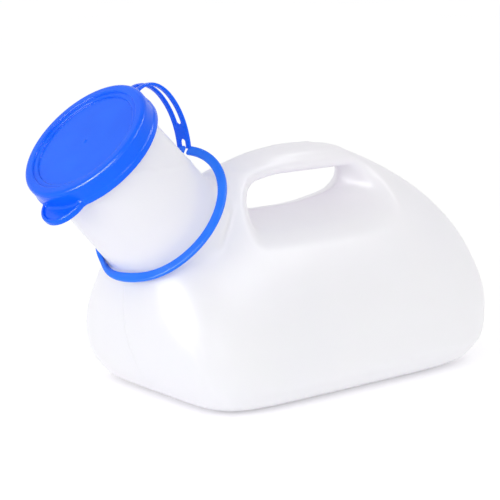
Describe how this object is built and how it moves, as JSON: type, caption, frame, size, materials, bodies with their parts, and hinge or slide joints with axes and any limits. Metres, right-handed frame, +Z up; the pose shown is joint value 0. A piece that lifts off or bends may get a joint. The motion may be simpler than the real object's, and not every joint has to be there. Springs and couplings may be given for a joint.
{
  "type": "urine bottle",
  "caption": "Hand-held hospital urine bottle: milky translucent body with an integral handle and a slanting neck, closed by a blue lid on a tether.",
  "frame": {"origin": "under the middle of the bounding box, on the plane the base stands on", "axes": "+Z up; the neck leans towards -X and the handle runs back towards +X; the lid's tab is turned a little towards -Y"},
  "size_m": [0.243, 0.1174, 0.1457],
  "materials": {
    "bottle": "milky translucent natural polyethylene, smooth and softly glossy",
    "cap": "glossy bright blue moulded polyethylene"
  },
  "bodies": {
    "bottle": {"bottle": "bottle"},
    "tether": {"neck_ring": "cap", "tether_strap": "cap"},
    "lid": {"lid": "cap"}
  },
  "joints": [
    {"name": "cap_swivel", "type": "hinge", "parent": "bottle", "child": "tether", "pos_m": [-0.0905, 0, 0.1164], "axis": [-0.6947, 0, 0.7193], "continuous": true},
    {"name": "lid_open", "type": "hinge", "parent": "tether", "child": "lid", "pos_m": [-0.06641, 0.0059, 0.13966], "axis": [-0.1249, 0.9848, -0.1206], "range_deg": [0, 120], "deforming": ["tether_strap"]}
  ]
}
